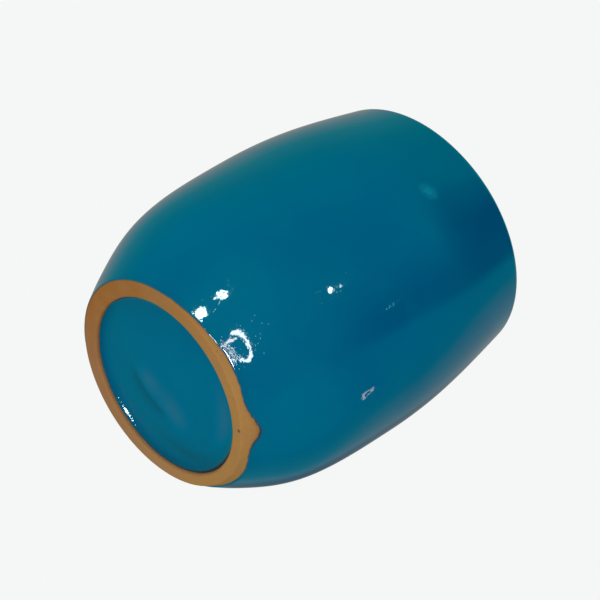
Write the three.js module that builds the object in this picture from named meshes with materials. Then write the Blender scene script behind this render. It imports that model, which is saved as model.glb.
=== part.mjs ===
// A handleless barrel mug in glazed terracotta: a thrown clay body with a turned foot, a glaze
// coat outside that runs over the lip, a glaze liner inside, and a skin of glaze in the well
// under the foot. The ring that the mug stands on, and a band above it, stay bare clay.
// Millimetres, +Z up the axis, origin at the middle of the ring that the mug stands on.

import * as THREE from 'three';

// Fired clay, outside
const CLAY_HEIGHT = 94.5;
const FOOT_RADIUS = 28.8;
const FLARE_ANGLE = 25.5;
const FLARE_HEIGHT = 7;
const BELLY_RADIUS = 40.6;
const BELLY_HEIGHT = 51.2;
const MOUTH_RADIUS = 35.35;
const MOUTH_LEAN = 11.3;

// How far each end of the two wall curves follows its own direction, in shares of their rise
const FLARE_RUN = 0.24;
const BELLY_RUN_DOWN = 0.8;
const BELLY_RUN_UP = 0.35;
const MOUTH_RUN = 0.41;

// Fired clay, wall, floor and foot
const WALL = 4.4;
const FLOOR_THICKNESS = 5;
const FLOOR_CORNER = 9;
const RING_WIDTH = 4;
const RING_EDGE = 0.8;
const WELL_DEPTH = 2.8;
const WELL_CORNER = 1.2;
const WELL_SAG = 0.4;

// Glaze
const GLAZE = 0.45;
const GLAZE_ROLL = 0.5;
const BOND_GAP = 0.05;
const SEAM_GAP = 0.1;
const LIP_WRAP = 135;
const WELL_BARE = 0.5;
const GLAZE_LINE = 1.75;
const LINE_TILT = 1.15;
const LINE_WAVER = 0.08;
const CRAWL_HEIGHT = 1.9;
const CRAWL_ANGLE = -44;
const CRAWL_SPREAD = 9;

// Steps round the axis and along each stretch of the section
const SEGMENTS = 48;
const LOWER_STEPS = 8;
const UPPER_STEPS = 6;
const CROWN_STEPS = 3;
const LIP_STEPS = 2;
const EDGE_STEPS = 3;
const CORNER_STEPS = 4;

const radians = THREE.MathUtils.degToRad;
const point = (r, z) => new THREE.Vector2(r, z);
const heading = (angle) => point(Math.cos(angle), Math.sin(angle));

// Points on a round stretch of the section, from one angle to another.
function arc(centre, radius, from, to, steps) {
  const points = [];
  for (let i = 0; i <= steps; i += 1) {
    const angle = THREE.MathUtils.lerp(from, to, i / steps);
    points.push(heading(angle).multiplyScalar(radius).add(centre));
  }
  return points;
}

// The section line moved sideways, away from the clay, which lies on the left of the line.
function offset(line, distance) {
  return line.map((p, i) => {
    const before = line[Math.max(i - 1, 0)];
    const after = line[Math.min(i + 1, line.length - 1)];
    const arriving = p.clone().sub(i > 0 ? before : after).normalize();
    const leaving = after.clone().sub(i < line.length - 1 ? p : before).normalize();
    if (i === 0) arriving.copy(leaving);
    if (i === line.length - 1) leaving.copy(arriving);
    const along = arriving.add(leaving).normalize();
    const widen = 1 / along.dot(leaving);
    const moved = p.clone().add(point(along.y, -along.x).multiplyScalar(distance * widen));
    if (p.x === 0) moved.x = 0;
    return moved;
  });
}

// The line with its first point moved forward along it.
function trimStart(line, distance) {
  const [first, second, ...rest] = line;
  const moved = first.clone().add(second.clone().sub(first).setLength(distance));
  return [moved, second, ...rest];
}

const reverse = (line) => [...line].reverse();

// The well under the foot, from the axis out to the ring's inner edge
const flare = radians(FLARE_ANGLE);
const wellRadius = FOOT_RADIUS - RING_WIDTH;
const wellEdge = point(wellRadius, RING_EDGE + WELL_BARE);
const wellCornerRadius = Math.min(WELL_CORNER, 0.9 * (WELL_DEPTH - wellEdge.y));
const wellCornerCentre = point(wellRadius - wellCornerRadius, WELL_DEPTH - wellCornerRadius);
const wellCeiling = [point(0, WELL_DEPTH - WELL_SAG), point(wellRadius / 2, WELL_DEPTH - WELL_SAG / 2)];
const wellCorner = arc(wellCornerCentre, wellCornerRadius, Math.PI / 2, 0, EDGE_STEPS);

// The bare ring, whose outer edge turns from flat to the slope of the flare
const innerEdgeCentre = point(wellRadius + RING_EDGE, RING_EDGE);
const innerEdge = arc(innerEdgeCentre, RING_EDGE, Math.PI, Math.PI * 1.5, EDGE_STEPS);
const outerEdgeInset = RING_EDGE * Math.tan((Math.PI / 2 - flare) / 2);
const outerEdgeCentre = point(FOOT_RADIUS - outerEdgeInset, RING_EDGE);
const outerEdge = arc(outerEdgeCentre, RING_EDGE, -Math.PI / 2, -flare, EDGE_STEPS);

// The outside wall: a straight flare, a full lower curve to the belly, and a lean to the mouth
const flareWay = heading(Math.PI / 2 - flare);
const flareAt = (height) => point(FOOT_RADIUS + height * Math.tan(flare), height);
const flareTop = flareAt(FLARE_HEIGHT);
const belly = point(BELLY_RADIUS, BELLY_HEIGHT);
const lean = radians(MOUTH_LEAN);
const lipRadius = WALL / 2;
const lipCentre = point(MOUTH_RADIUS - lipRadius, CLAY_HEIGHT - lipRadius);
const lipStart = heading(lean).multiplyScalar(lipRadius).add(lipCentre);
const lowerRise = belly.y - flareTop.y;
const upperRise = lipStart.y - belly.y;
const lowerCurve = new THREE.CubicBezierCurve(
  flareTop,
  flareTop.clone().addScaledVector(flareWay, lowerRise * FLARE_RUN),
  point(belly.x, belly.y - lowerRise * BELLY_RUN_DOWN),
  belly,
);
const upperCurve = new THREE.CubicBezierCurve(
  belly,
  point(belly.x, belly.y + upperRise * BELLY_RUN_UP),
  lipStart.clone().addScaledVector(heading(lean - Math.PI / 2), upperRise * MOUTH_RUN),
  lipStart,
);
const lowerWall = lowerCurve.getPoints(LOWER_STEPS);
const upperWall = upperCurve.getPoints(UPPER_STEPS);
const wall = [...lowerWall, ...upperWall.slice(1)];

// The lip, split where the outer coat meets the liner
const wrap = radians(LIP_WRAP);
const lipOutside = [
  ...arc(lipCentre, lipRadius, lean, Math.PI / 2, CROWN_STEPS),
  ...arc(lipCentre, lipRadius, Math.PI / 2, wrap, LIP_STEPS).slice(1),
];
const lipInside = arc(lipCentre, lipRadius, wrap, lean + Math.PI, LIP_STEPS);

// The inside wall keeps one thickness, then rounds into the floor
const floorHeight = WELL_DEPTH + FLOOR_THICKNESS;
const insideWall = reverse(offset(wall, -WALL)).filter((p) => p.y > floorHeight + FLOOR_CORNER);
const [wallBend, wallFoot] = insideWall.slice(-2);
const wallWay = wallFoot.clone().sub(wallBend).normalize();
const wallMeetsFloor = wallFoot.clone().addScaledVector(wallWay, (floorHeight - wallFoot.y) / wallWay.y);
const floorEdge = point(wallMeetsFloor.x - FLOOR_CORNER, floorHeight);
const corner = new THREE.QuadraticBezierCurve(wallFoot, wallMeetsFloor, floorEdge);
const floorCorner = corner.getPoints(CORNER_STEPS).slice(1);
const floorMiddle = point(0, floorHeight);

// Stretches of the section that carry glaze, each followed with the clay on its left
const wellLine = [...wellCeiling, ...wellCorner, wellEdge];
const outsideLine = [flareAt(GLAZE_LINE), ...wall, ...lipOutside.slice(1)];
const insideLine = [...lipInside, ...insideWall.slice(1), ...floorCorner, floorMiddle];

// Materials, with the colours of the fired clay and of the glaze over it
const terracotta = new THREE.MeshStandardMaterial({ color: 0xb0783c, roughness: 0.85, metalness: 0 });
const tealGlaze = new THREE.MeshStandardMaterial({ color: 0x00627f, roughness: 0.08, metalness: 0 });

// A piece turned about the axis, set upright.
function turned(name, profile, material) {
  const mesh = new THREE.Mesh(new THREE.LatheGeometry(profile, SEGMENTS), material);
  mesh.name = name;
  mesh.rotation.x = Math.PI / 2;
  return mesh;
}

function clayBody() {
  const profile = [...wellLine, ...innerEdge, ...outerEdge, ...wall, ...lipOutside.slice(1)];
  profile.push(...insideLine.slice(1));
  return turned('clay_body', profile, terracotta);
}

// How far up the flare the glaze stops at an angle round the axis, from its mean height. The
// line slants and wavers, and at one place the glaze has crawled back from the clay.
function lineShift(angle) {
  const away = THREE.MathUtils.radToDeg(angle) - CRAWL_ANGLE;
  const crawl = CRAWL_HEIGHT * Math.exp(-((away / CRAWL_SPREAD) ** 2));
  return LINE_TILT * Math.cos(angle) + LINE_WAVER * Math.sin(9 * angle) + crawl;
}

// Slides the points of the coat's lower edge along the flare, each by its own shift.
function slantEdge(geometry, profile) {
  const position = geometry.attributes.position;
  const edge = [0, profile.length - 2, profile.length - 1];
  for (let i = 0; i < position.count; i += 1) {
    if (edge.includes(i % profile.length)) {
      const at = new THREE.Vector3().fromBufferAttribute(position, i);
      const shift = lineShift(Math.atan2(-at.z, at.x));
      const grow = 1 + (shift * flareWay.x) / Math.hypot(at.x, at.z);
      position.setXYZ(i, at.x * grow, at.y + shift * flareWay.y, at.z * grow);
    }
  }
}

function outerGlaze() {
  const near = offset(outsideLine, BOND_GAP);
  const far = trimStart(offset(outsideLine, BOND_GAP + GLAZE), GLAZE_ROLL);
  const profile = [...far, ...reverse(near), far[0]];
  const mesh = turned('outer_glaze', profile, tealGlaze);
  slantEdge(mesh.geometry, profile);
  return mesh;
}

function linerGlaze() {
  const near = trimStart(offset(insideLine, BOND_GAP), SEAM_GAP);
  const far = trimStart(offset(insideLine, BOND_GAP + GLAZE), SEAM_GAP);
  return turned('liner_glaze', [...reverse(near), ...far], tealGlaze);
}

function wellGlaze() {
  const near = offset(wellLine, BOND_GAP);
  const far = offset(wellLine, BOND_GAP + GLAZE);
  return turned('well_glaze', [...far, ...reverse(near)], tealGlaze);
}

const mug = new THREE.Group();
mug.add(clayBody(), outerGlaze(), linerGlaze(), wellGlaze());

export default mug;
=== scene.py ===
"""Looks of a handleless pottery mug: a terracotta body, its gloss teal glaze and a pale stage.

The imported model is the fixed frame. Four finely turned pieces stand for its four nodes, in metres,
with +Z up the axis and the origin at the middle of the ring that the mug stands on. Angles round
the axis are measured from the side that faces the camera, and grow towards +X.
"""

import math

import bpy
from bpy.props import FloatProperty, FloatVectorProperty, PointerProperty
from mathutils import Matrix, Vector, noise
from mathutils.geometry import interpolate_bezier


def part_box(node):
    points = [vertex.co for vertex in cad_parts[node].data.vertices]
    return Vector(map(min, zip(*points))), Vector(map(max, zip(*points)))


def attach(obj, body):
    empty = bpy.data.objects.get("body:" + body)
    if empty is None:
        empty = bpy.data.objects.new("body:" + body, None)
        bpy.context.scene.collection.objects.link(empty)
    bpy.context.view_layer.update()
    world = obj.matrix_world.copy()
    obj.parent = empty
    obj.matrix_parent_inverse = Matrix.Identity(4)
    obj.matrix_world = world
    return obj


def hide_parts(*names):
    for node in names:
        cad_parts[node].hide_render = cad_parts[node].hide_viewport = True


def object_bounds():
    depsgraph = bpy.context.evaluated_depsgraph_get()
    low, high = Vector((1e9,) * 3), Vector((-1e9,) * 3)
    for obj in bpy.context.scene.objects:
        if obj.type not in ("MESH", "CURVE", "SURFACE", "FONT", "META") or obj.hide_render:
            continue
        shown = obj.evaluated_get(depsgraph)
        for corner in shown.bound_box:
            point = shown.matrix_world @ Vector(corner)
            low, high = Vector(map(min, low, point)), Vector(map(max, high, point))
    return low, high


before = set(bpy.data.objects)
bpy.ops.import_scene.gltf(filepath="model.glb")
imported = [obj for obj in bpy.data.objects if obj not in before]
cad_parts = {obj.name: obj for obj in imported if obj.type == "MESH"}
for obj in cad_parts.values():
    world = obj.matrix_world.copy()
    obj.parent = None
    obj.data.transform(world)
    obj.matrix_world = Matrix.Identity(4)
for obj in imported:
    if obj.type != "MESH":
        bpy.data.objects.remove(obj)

bl_info = {
    "name": "Pottery Mug",
    "version": (1, 0, 0),
    "blender": (4, 5, 0),
    "location": "3D View > Sidebar > Mug",
    "description": "Builds a handleless mug in glazed terracotta on a pale stage",
    "category": "Object",
}

CAD_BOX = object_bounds()
BODY = "root"
MM = 0.001
DEGREE = math.radians(1)
QUARTER_TURN = math.pi / 2
HALF_TURN = math.pi
FULL_TURN = 2 * math.pi
RIGHT = Vector((1.0, 0.0, 0.0))
UP = Vector((0.0, 0.0, 1.0))
WHITE = (1.0, 1.0, 1.0)
BLACK = (0.0, 0.0, 0.0)

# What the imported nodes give
CLAY_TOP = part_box("clay_body")[1]
COAT_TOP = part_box("outer_glaze")[1]
LINER_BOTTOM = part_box("liner_glaze")[0]
WELL_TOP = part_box("well_glaze")[1]
WELL_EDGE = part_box("well_glaze")[0]
CAD_BOND = 0.05 * MM

# Sizes that several defaults share
FOOT_RADIUS = 28.8 * MM
BOND = 0.02 * MM

# Fineness of the turned meshes
TURNS = 320
TURN_ANGLES = [FULL_TURN * j / TURNS for j in range(TURNS)]
LINE_STEP = 0.1 * MM
SHARP_ANGLE = 50 * DEGREE

# Steps through the noise from one seed to another
SEED_STEPS = (1.0, 2.3, -1.7)

# The colour sockets of a mix node: its two inputs and its output
MIX_FIRST, MIX_SECOND, MIX_RESULT = 6, 7, 2

# Shades of the room that the gloss mirrors, from behind the camera at minus one to straight ahead at one
ROOM_SHADES = (
    (-1.00, (0.0, 0.61, 0.57)),
    (-0.35, (0.0, 0.51, 0.56)),
    (0.00, (0.0, 0.57, 0.65)),
    (0.30, (0.0, 0.54, 0.58)),
    (0.50, (0.01, 0.50, 0.46)),
    (0.72, (0.05, 0.455, 0.40)),
    (0.87, (0.21, 0.395, 0.36)),
    (1.00, (0.33, 0.32, 0.29)),
)

# Patches of that room: a direction, how near to it the patch starts and is full, its cover and its shade
ROOM_PATCHES = {
    "overhead": (UP, (0.74, 0.86), 0.6, (0.0, 0.475, 0.28)),
    "low front": ((-0.35, -0.85, -0.39), (0.80, 0.99), 1.0, (0.0, 0.74, 0.60)),
    "low right": ((0.96, -0.21, -0.16), (0.78, 0.97), 1.0, (0.0, 0.83, 0.76)),
    "high right": ((0.45, 0.50, 0.74), (0.90, 0.985), 0.42, (0.40, 0.43, 0.37)),
    "right back": ((0.33, 0.83, 0.45), (0.970, 1.0), 0.6, BLACK),
}

# Levels of the two softboxes, and the direction of the one above
BACK_LEVEL = 0.5
TOP_LEVEL = 0.9
TOP_WAY = Vector((0.0, 0.35, 0.94))

# Round glints on the coat, in degrees and millimetres, each with its strength and share of red
GLINT_SPOTS = {
    "upper blob": (-19.1, 9.0, 1.30, 0.95, 20, 30, 0.7),
    "upper companion": (-19.7, 7.4, 0.35, 0.30, 0, 22, 0.7),
    "lower blob": (-18.7, 2.96, 1.45, 1.35, 0, 30, 0.7),
    "first dot": (2.5, 30.9, 0.75, 0.70, 0, 25, 0.8),
    "second dot": (3.2, 34.0, 0.50, 0.42, 0, 13, 0.6),
    "third dot": (18.6, 44.9, 0.16, 0.16, 0, 16, 0.2),
    "fourth dot": (18.1, 46.2, 0.14, 0.14, 0, 11, 0.2),
}
SPOT_HOLLOW = 0.05

# A framed glint on the coat, by the turns and heights of its corners
WINDOW_CORNERS = ((43.9, 30.63), (43.4, 34.35), (44.9, 34.31), (46.8, 30.80))
WINDOW_HOLLOW = 0.55
WINDOW_STRENGTH = 2.5

# Drawn glints on the coat: strength, share of red, and knots as turn, height and half width
GLINT_STROKES = {
    "hook": (
        13,
        0.9,
        (
            (-2.4, 5.2, 0.4),
            (-2.7, 6.0, 0.6),
            (-1.4, 7.0, 0.6),
            (1.8, 7.45, 0.42),
            (5.4, 7.4, 0.38),
            (8.4, 7.0, 0.38),
            (10.7, 6.1, 0.45),
            (10.6, 5.2, 0.35),
            (8.3, 4.5, 0.3),
            (6.2, 3.9, 0.2),
        ),
    ),
    "left streak": (
        10,
        1.0,
        (
            (-0.1, 6.0, 0.25),
            (-0.5, 4.5, 0.4),
            (-0.4, 3.5, 0.3),
            (1.8, 3.3, 0.35),
            (4.9, 3.4, 0.4),
            (6.2, 3.4, 0.3),
        ),
    ),
    "inner line": (10, 1.0, ((-2.6, 2.4, 0.2), (0.5, 2.85, 0.28), (3.8, 3.1, 0.3), (6.3, 3.35, 0.3))),
}

# Glints along an edge of the glaze: first and last turn in degrees, distance from the edge, width, bow
EDGE_LINE = (1.0, 11.0, 0.45 * MM, 0.11 * MM, 0.0)
EDGE_LINE_STRENGTH = 60
CRESCENT = (175.0, 182.6, 1.65 * MM, 1.0 * MM, 0.5 * MM)
CRESCENT_STRENGTH = 30
CRESCENT_TINT = (0.8, 1.0, 1.0)

# A hazy glint under the rim: its place, its slant in radians, its tint and its two ovals
HAZE_PLACE = (-9.9, 74.2)
HAZE_SLANT = 0.6
HAZE_TINT = (0.02, 1.0, 0.98)
HAZE_OVALS = {"haze": (2.8, 2.2, 0.5, 0.84), "haze core": (1.4, 1.1, 0.05, 1.3)}


def length(name, description, default):
    """A size in metres that a user may change."""
    return FloatProperty(
        name=name, description=description, default=default, subtype="DISTANCE", unit="LENGTH", precision=5
    )


def angle(name, description, degrees):
    """An angle that a user may change, given in degrees."""
    return FloatProperty(
        name=name, description=description, default=math.radians(degrees), subtype="ANGLE", unit="ROTATION"
    )


def share(name, description, default):
    """A plain number from nought upwards."""
    return FloatProperty(name=name, description=description, default=default, min=0.0)


def colour(name, description, default):
    """A linear colour that a user may change."""
    return FloatVectorProperty(
        name=name, description=description, default=default, subtype="COLOR", size=3, min=0.0, max=1.0
    )


class MugShape(bpy.types.PropertyGroup):
    """Sizes of the fired clay."""

    height: length("Height", "Height of the clay, without glaze", CLAY_TOP.z)
    belly_radius: length("Belly radius", "Radius of the clay where it is widest", CLAY_TOP.x)
    belly_height: length("Belly height", "Height of the widest place", 51.2 * MM)
    foot_radius: length("Foot radius", "Radius of the flare carried down to the table", FOOT_RADIUS)
    flare_angle: angle("Flare angle", "Lean of the wall above the foot", 25.5)
    flare_height: length("Flare height", "Height of the straight flare", 7 * MM)
    mouth_radius: length("Mouth radius", "Outer radius of the lip", 35.35 * MM)
    mouth_lean: angle("Mouth lean", "Inward lean of the wall under the lip", 11.3)
    flare_run: share("Flare run", "Pull of the flare on the lower curve, in shares of its rise", 0.24)
    belly_run_down: share("Belly run down", "Pull of the belly on the lower curve", 0.8)
    belly_run_up: share("Belly run up", "Pull of the belly on the upper curve", 0.35)
    mouth_run: share("Mouth run", "Pull of the mouth on the upper curve", 0.41)
    wall: length("Wall", "Thickness of the wall", 4.4 * MM)
    floor_height: length("Floor height", "Height of the clay floor inside", LINER_BOTTOM.z - CAD_BOND)
    floor_corner: length("Floor corner", "Size of the round corner inside", 9 * MM)
    ring_width: length("Ring width", "Width of the standing ring", FOOT_RADIUS - WELL_TOP.x - CAD_BOND)
    ring_edge: length("Ring edge", "Radius of the ring's two rounded edges", 0.8 * MM)
    well_depth: length("Well depth", "Depth of the well under the foot", WELL_TOP.z + CAD_BOND)
    well_corner: length("Well corner", "Radius of the corner in the well", 1.2 * MM)
    well_sag: length("Well sag", "How far the middle of the well comes down", 0.4 * MM)
    well_offset: length("Well offset", "How far the middle of the well lies off the axis", 0.82 * MM)
    well_turn: angle("Well turn", "Direction in which the well lies off the axis", 106)
    wobble: length("Wobble", "Unevenness of the thrown form", 0.05 * MM)
    rim_tilt: angle("Rim tilt", "How far the rim slants down towards one side", 1.8)
    rim_drop: length("Rim drop", "How far the whole rim lies below its mean height", 0.5 * MM)


class MugGlaze(bpy.types.PropertyGroup):
    """Sizes and colours of the glaze."""

    bond: length("Bond", "Clearance between the clay and the glaze", BOND)
    thickness: length("Thickness", "Thickness of the glaze on the wall", COAT_TOP.z - CLAY_TOP.z - BOND)
    roll: length("Roll", "Length of the rolled edge", 0.55 * MM)
    coat_foot: length("Coat foot", "Radius of the coat's outside carried down to the table", 28.87 * MM)
    coat_lean: angle("Coat lean", "Lean of the coat's outside at the foot", 30)
    coat_foot_pull: length("Coat foot pull", "Pull of the foot on the coat's lower curve", 22.15 * MM)
    coat_belly_pull: length("Coat belly pull", "Pull of the belly on the coat's lower curve", 29.14 * MM)
    bulge: length("Bulge", "Extra thickness where the glaze has run down and gathered", 0.12 * MM)
    bulge_place: length("Bulge place", "Distance of the gathered glaze from the edge", 4.5 * MM)
    bulge_spread: length("Bulge spread", "Reach of the gathered glaze", 5.0 * MM)
    lip_wrap: angle("Lip wrap", "Where the outer coat meets the liner on the lip", 135)
    line_height: length("Line height", "Mean height of the glaze line on the flare", 1.35 * MM)
    line_tilt: length("Line tilt", "Rise of the line from its mean to its high side", 1.65 * MM)
    line_lowest: length("Line lowest", "Height that the line stays above", 0.2 * MM)
    line_waver: length("Line waver", "Small unevenness of the line", 0.12 * MM)
    line_tear: length("Line tear", "Ragged unevenness of the line near its notch", 0.22 * MM)
    crawl_height: length("Crawl height", "Height of the notch where the glaze crawled back", 1.8 * MM)
    crawl_angle: angle("Crawl angle", "Place of the notch", 47)
    crawl_rise: angle("Crawl rise", "Reach of the notch's gentle side", 9)
    crawl_fall: angle("Crawl fall", "Reach of the notch's steep side", 5.6)
    tear_height: length("Tear height", "Drop of the line beside the notch", 0.5 * MM)
    tear_angle: angle("Tear angle", "Place of that drop", 61)
    tear_spread: angle("Tear spread", "Reach of that drop", 8)
    dip_height: length("Dip height", "Drop of the line on the other side of the notch", 0.45 * MM)
    dip_angle: angle("Dip angle", "Place of that drop", 29)
    dip_spread: angle("Dip spread", "Reach of that drop", 7)
    hump_height: length("Hump height", "Low hump of the line at the front", 0.35 * MM)
    hump_angle: angle("Hump angle", "Place of that hump", 3)
    hump_spread: angle("Hump spread", "Reach of that hump", 10)
    well_line: length("Well line", "Height of the glaze line in the well", WELL_EDGE.z - 0.15 * MM)
    well_slope: length("Well slope", "Length over which the well's glaze slopes to its edge", 5 * MM)
    crease_depth: length("Crease depth", "Depth of the soft crease in the well", 0.12 * MM)
    body_colour: colour("Body", "Glaze on the wall", (0.0, 0.0675, 0.168))
    green_colour: colour("Green", "Glaze in its greener clouds", (0.0, 0.0755, 0.171))
    # Also the painted shade in the well
    pool_and_shade_colour: colour("Pool", "Glaze where it has gathered", (0.003, 0.030, 0.085))
    # Painted light in patches of the well, and lighter along one side of its rim
    lightened_colour: colour("Thin", "Glaze where it is thin", (0.017, 0.075, 0.162))
    # Also the painted shade along one side of the well's edge
    edge_and_shade_colour: colour("Edge", "Scorched edge of the glaze", (0.038, 0.034, 0.035))
    roughness: share("Roughness", "Roughness of the gloss", 0.03)
    index: share("Index", "Refractive index of the glaze", 1.75)


class MugClay(bpy.types.PropertyGroup):
    """Colours of the bare clay."""

    warm_colour: colour("Warm", "Clay on its redder side", (0.262, 0.099, 0.016))
    pale_colour: colour("Pale", "Clay on its paler side", (0.322, 0.162, 0.043))
    dull_colour: colour("Dull", "Clay in its grey clouds", (0.268, 0.142, 0.050))
    # The clay turns greyer towards its far side
    grey_colour: colour("Grey", "Clay on its dusty far side", (0.250, 0.155, 0.110))
    dark_colour: colour("Dark", "Grit and scorched clay", (0.13, 0.060, 0.024))
    pit_radius: length("Pit radius", "Radius of the burst pit in the ring", 0.65 * MM)
    pit_place: length("Pit place", "Distance of that pit from the axis", 27.9 * MM)
    pit_angle: angle("Pit angle", "Angle of that pit round the axis", 45)
    roughness: share("Roughness", "Roughness of the bare clay", 0.8)


class MugStage(bpy.types.PropertyGroup):
    """The camera, the lamps and the pale surroundings."""

    camera_distance: length("Camera distance", "From the camera to the foot, along the view", 0.8)
    camera_slide: length("Camera slide", "Sideways move of the camera along the mug", 40.758 * MM)
    camera_tilt: angle("Camera tilt", "How far the camera looks up from below", 34.382)
    camera_roll: angle("Camera roll", "Turn of the camera about its view", 31.25)
    camera_focal: share("Camera focal length", "Focal length, in widths of the picture", 3187 / 600)
    background: colour("Background", "Colour of the pale background", (0.913, 0.930, 0.922))
    ambient: share("Ambient", "Mean level of the light from all round", 0.637)
    slope: share("Slope", "How much of that light is added in front and taken away behind", 0.871)


class MugSettings(bpy.types.PropertyGroup):
    """All that a user may change."""

    shape: PointerProperty(type=MugShape)
    glaze: PointerProperty(type=MugGlaze)
    clay: PointerProperty(type=MugClay)
    stage: PointerProperty(type=MugStage)


def mug_settings(context):
    """The shape, the glaze and the clay as they are set in the scene."""
    settings = context.scene.pottery_mug
    return settings.shape, settings.glaze, settings.clay


class Section:
    """A line of the half section, followed by its length with the clay on its left."""

    def __init__(self, points):
        self.points = points
        self.lengths = [0.0]
        for before, after in zip(points, points[1:]):
            self.lengths.append(self.lengths[-1] + (after - before).length)
        self.total = self.lengths[-1]
        self.normals = []
        last = len(points) - 1
        for i in range(len(points)):
            along = points[min(i + 1, last)] - points[max(i - 1, 0)]
            self.normals.append(Vector((along.y, -along.x)).normalized())

    def at(self, distance):
        """The place and the outward normal at a distance along the line."""
        distance = min(max(distance, 0.0), self.total)
        low, high = 0, len(self.lengths) - 1
        while high - low > 1:
            middle = (low + high) // 2
            if self.lengths[middle] > distance:
                high = middle
            else:
                low = middle
        mix = (distance - self.lengths[low]) / (self.lengths[high] - self.lengths[low])
        place = self.points[low].lerp(self.points[high], mix)
        return place, self.normals[low].lerp(self.normals[high], mix).normalized()

    def length_at(self, height):
        """The distance along a rising line at which it reaches a height."""
        for i in range(1, len(self.points)):
            below, above = self.points[i - 1].y, self.points[i].y
            if above >= height:
                mix = max(0.0, (height - below) / (above - below))
                return self.lengths[i - 1] + mix * (self.lengths[i] - self.lengths[i - 1])
        raise ValueError("the section line doesn't reach that height")


def heading(turn):
    """A unit step in the plane of the section."""
    return Vector((math.cos(turn), math.sin(turn)))


def arc(centre, radius, start, end):
    """Points on a round stretch of the section, from one angle to another."""
    steps = max(4, round(abs(end - start) * radius / LINE_STEP))
    return [centre + heading(start + (end - start) * i / steps) * radius for i in range(steps + 1)]


def straight(start, end):
    """Points on a straight stretch of the section."""
    steps = max(1, round((end - start).length / LINE_STEP))
    return [start.lerp(end, i / steps) for i in range(steps + 1)]


def bezier(start, start_pull, end_pull, end):
    """Points on a free curve of the section."""
    steps = round((end - start).length / LINE_STEP)
    return [Vector(p[:2]) for p in interpolate_bezier(start, start_pull, end_pull, end, steps)]


def joined(*stretches):
    """Stretches that meet end to end, as one line."""
    points = list(stretches[0])
    for stretch in stretches[1:]:
        points.extend(stretch[1:])
    return points


class MugSection:
    """The half section of the fired clay, as a well, a ring, an outside and an inside."""

    def __init__(self, shape, lip_wrap):
        lip_radius = shape.wall / 2
        lip_centre = Vector((shape.mouth_radius - lip_radius, shape.height - lip_radius))
        lean = shape.mouth_lean
        lip_outside = arc(lip_centre, lip_radius, lean, lip_wrap)
        lip_inside = arc(lip_centre, lip_radius, lip_wrap, HALF_TURN + lean)
        inner_edge, outer_edge = self.ring_edges(shape)
        flare_rise = shape.flare_height * math.tan(shape.flare_angle)
        flare_top = Vector((shape.foot_radius + flare_rise, shape.flare_height))
        lower, upper = self.wall_curves(shape, flare_top, lip_centre + heading(lean) * lip_radius)
        below_lip = joined(outer_edge, straight(outer_edge[-1], flare_top), lower, upper)
        self.well = Section(self.well_points(shape))
        self.ring = Section(joined(inner_edge, straight(inner_edge[-1], outer_edge[0])))
        self.outside = Section(joined(below_lip, lip_outside))
        self.lip_length = Section(below_lip).total
        self.inside = Section(joined(lip_inside, self.inner_points(shape, joined(lower, upper))))

    def well_points(self, shape):
        """The well under the foot, from the axis out and down to the ring's inner edge."""
        middle_flatness, edge_flatness = 0.6, 0.2
        radius = shape.foot_radius - shape.ring_width
        corner_centre = Vector((radius - shape.well_corner, shape.well_depth - shape.well_corner))
        edge = Vector((corner_centre.x, shape.well_depth))
        middle = Vector((0.0, shape.well_depth - shape.well_sag))
        middle_pull = Vector((corner_centre.x * middle_flatness, middle.y))
        ceiling = bezier(middle, middle_pull, edge.lerp(middle, edge_flatness), edge)
        corner = arc(corner_centre, shape.well_corner, QUARTER_TURN, 0.0)
        return joined(ceiling, corner, straight(corner[-1], Vector((radius, shape.ring_edge))))

    def ring_edges(self, shape):
        """The two rounded edges of the standing ring. The outer one turns into the flare."""
        inner_radius = shape.foot_radius - shape.ring_width + shape.ring_edge
        inner_centre = Vector((inner_radius, shape.ring_edge))
        inner = arc(inner_centre, shape.ring_edge, HALF_TURN, HALF_TURN + QUARTER_TURN)
        inset = shape.ring_edge * math.tan((QUARTER_TURN - shape.flare_angle) / 2)
        outer_centre = Vector((shape.foot_radius - inset, shape.ring_edge))
        return inner, arc(outer_centre, shape.ring_edge, -QUARTER_TURN, -shape.flare_angle)

    def wall_curves(self, shape, flare_top, lip_start):
        """The outside wall, as a curve from the flare to the belly and one from there to the lip."""
        belly = Vector((shape.belly_radius, shape.belly_height))
        lower_rise = belly.y - flare_top.y
        upper_rise = lip_start.y - belly.y
        lower = bezier(
            flare_top,
            flare_top + heading(QUARTER_TURN - shape.flare_angle) * lower_rise * shape.flare_run,
            belly - Vector((0.0, lower_rise * shape.belly_run_down)),
            belly,
        )
        upper = bezier(
            belly,
            belly + Vector((0.0, upper_rise * shape.belly_run_up)),
            lip_start + heading(shape.mouth_lean - QUARTER_TURN) * upper_rise * shape.mouth_run,
            lip_start,
        )
        return lower, upper

    def inner_points(self, shape, wall):
        """The inside wall, at one thickness from the outside, and the floor with its round corner."""
        outside = Section(wall)
        inner_wall = [p - n * shape.wall for p, n in zip(outside.points, outside.normals)]
        inner_wall = [p for p in reversed(inner_wall) if p.y > shape.floor_height + shape.floor_corner]
        wall_foot = inner_wall[-1]
        wall_way = (wall_foot - inner_wall[-2]).normalized()
        meet = wall_foot + wall_way * ((shape.floor_height - wall_foot.y) / wall_way.y)
        floor_edge = Vector((meet.x - shape.floor_corner, shape.floor_height))
        pull = 2 / 3
        corner = bezier(wall_foot, wall_foot.lerp(meet, pull), floor_edge.lerp(meet, pull), floor_edge)
        floor = straight(floor_edge, Vector((0.0, shape.floor_height)))
        return joined(inner_wall[1:], corner, floor)


def even(start, end, count):
    """Numbers from start to end, both included."""
    return [start + (end - start) * i / count for i in range(count + 1)]


def gathered(end, count, pull):
    """Numbers from nought to end, close together near nought."""
    return [end * (math.exp(pull * i / count) - 1) / (math.exp(pull) - 1) for i in range(count + 1)]


def facing(turn):
    """The direction out from the axis at an angle measured from the side that faces the camera."""
    return Vector((math.sin(turn), -math.cos(turn), 0.0))


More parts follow.
